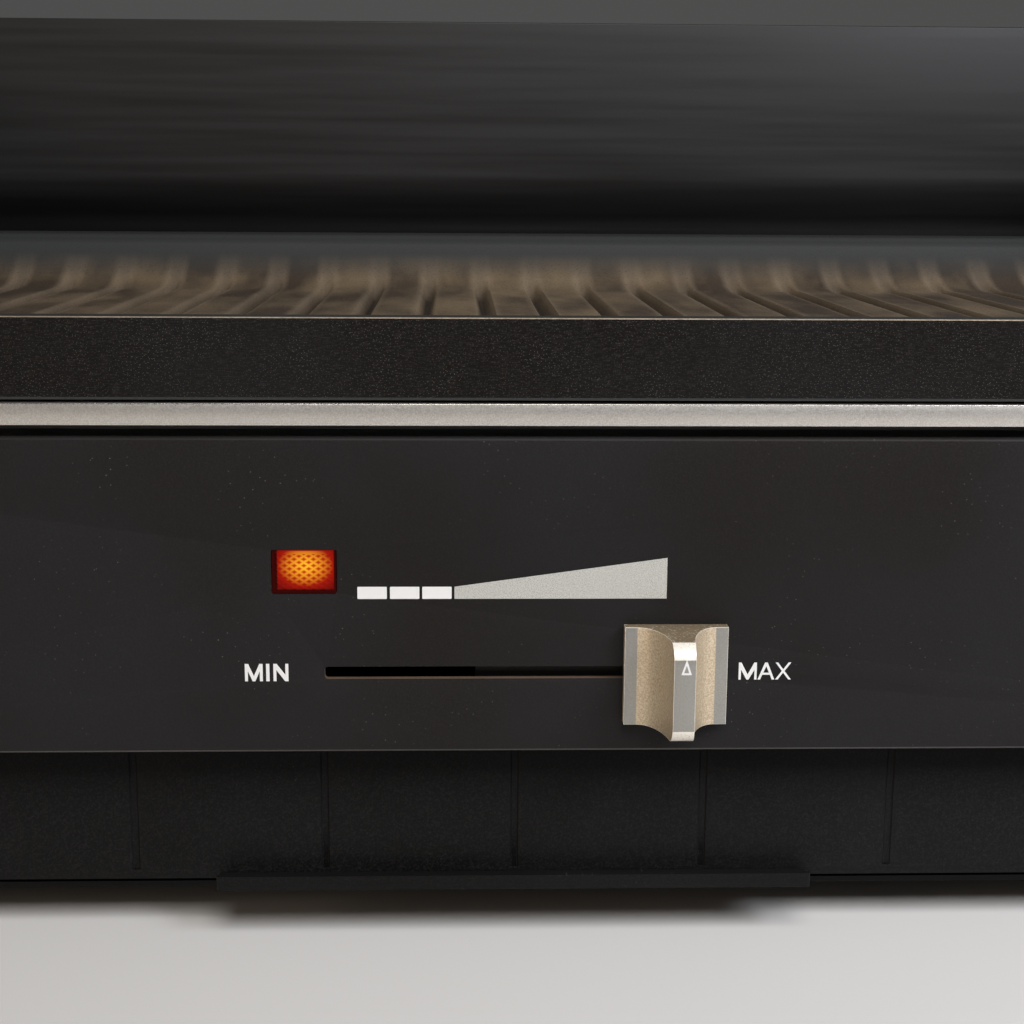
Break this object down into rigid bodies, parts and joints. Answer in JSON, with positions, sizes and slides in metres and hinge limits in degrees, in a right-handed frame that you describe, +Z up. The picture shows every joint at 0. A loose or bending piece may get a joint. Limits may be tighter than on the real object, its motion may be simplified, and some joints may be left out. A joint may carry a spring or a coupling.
{
  "type": "electric grill hot plate",
  "caption": "Table-top electric grill with a ribbed cast hot plate, silver trim frame, sliding heat control, pilot lamp, drip tray and splash guard.",
  "frame": {"origin": "on the table, under the middle of the whole object", "axes": "+X to the right seen from the front, +Y to the back, +Z up"},
  "size_m": [0.4036, 0.1944, 0.193],
  "materials": {
    "plate_coating": "dark non-stick coating on a casting",
    "trim_aluminium": "satin anodised",
    "panel_paint": "fine satin black powder coat",
    "housing_paint": "satin black powder coat",
    "guard_enamel": "dark grey enamel",
    "zinc_steel": "zinc plated",
    "blackened_steel": "blackened",
    "reflector_aluminium": "bright mill finish",
    "rubber": "matt",
    "knob_satin": "satin champagne plating",
    "black_plastic": "moulded",
    "pinion_plastic": "natural acetal",
    "thermostat_steel": "stamped",
    "ceramic_white": "unglazed steatite",
    "brass": "stamped",
    "lens_red": "transparent red, prismatic, lit from behind",
    "neon_glass": "clear",
    "element_sheath": "heat darkened",
    "copper": "drawn copper",
    "lead_silicone": "silicone sleeve"
  },
  "bodies": {
    "base": {"trim_frame": "trim_aluminium", "front_fascia": "panel_paint", "base_housing": "housing_paint", "bottom_cover": "housing_paint", "trim_spacers": "zinc_steel", "trim_screws": "zinc_steel", "fascia_studs": "zinc_steel", "stud_nuts": "zinc_steel", "cover_screws": "zinc_steel", "foot_screws": "zinc_steel", "foot_nuts": "zinc_steel", "thermostat_bracket": "zinc_steel", "thermostat_screws": "zinc_steel", "element_brackets": "zinc_steel", "reflector_screws": "zinc_steel", "tray_runner_left": "zinc_steel", "tray_runner_right": "zinc_steel", "fascia_screws": "blackened_steel", "slider_rail": "blackened_steel", "reflector_tray": "reflector_aluminium", "grease_chute": "reflector_aluminium", "foot_front_left": "rubber", "foot_front_right": "rubber", "foot_rear_left": "rubber", "foot_rear_right": "rubber", "pilot_housing": "black_plastic", "cord_gland": "black_plastic", "thermostat_body": "thermostat_steel", "thermal_cutout": "thermostat_steel", "thermostat_ceramic": "ceramic_white", "element_bushes": "ceramic_white", "terminal_block": "ceramic_white", "thermostat_terminals": "brass", "pilot_terminals": "brass", "cutout_terminals": "brass", "terminal_screws": "brass", "element_pins": "brass", "earth_screw": "brass", "pilot_lens": "lens_red", "neon_bulb": "neon_glass", "heating_element": "element_sheath", "sensor_bulb": "copper", "capillary_tube": "copper", "lead_supply": "lead_silicone", "lead_cutout": "lead_silicone", "lead_heater": "lead_silicone", "lead_neutral": "lead_silicone"},
    "hot_plate": {"grill_plate": "plate_coating"},
    "guard": {"splash_guard": "guard_enamel"},
    "tray": {"drip_tray": "housing_paint"},
    "control": {"slider_knob": "knob_satin", "slider_carriage": "black_plastic"},
    "spindle": {"thermostat_spindle": "zinc_steel", "spindle_pinion": "pinion_plastic", "pinion_clip": "zinc_steel"}
  },
  "joints": [
    {"name": "knob_slide", "type": "slide", "parent": "base", "child": "control", "axis": [1, 0, 0], "range_m": [-0.0615, 0]},
    {"name": "spindle_turn", "type": "hinge", "parent": "base", "child": "spindle", "pos_m": [0, -0.07425, 0.075], "axis": [0, 1, 0], "range_deg": [0, 272]},
    {"name": "tray_slide", "type": "slide", "parent": "base", "child": "tray", "axis": [0, -1, 0], "range_m": [0, 0.15]},
    {"name": "plate_lift", "type": "slide", "parent": "base", "child": "hot_plate", "axis": [0, 0, 1], "range_m": [0, 0.08]},
    {"name": "guard_lift", "type": "slide", "parent": "base", "child": "guard", "axis": [0, 0, 1], "range_m": [0, 0.06]}
  ],
  "couplings": [
    {"joint": "spindle_turn", "follows": "knob_slide", "rad_per_m": -76.923}
  ]
}
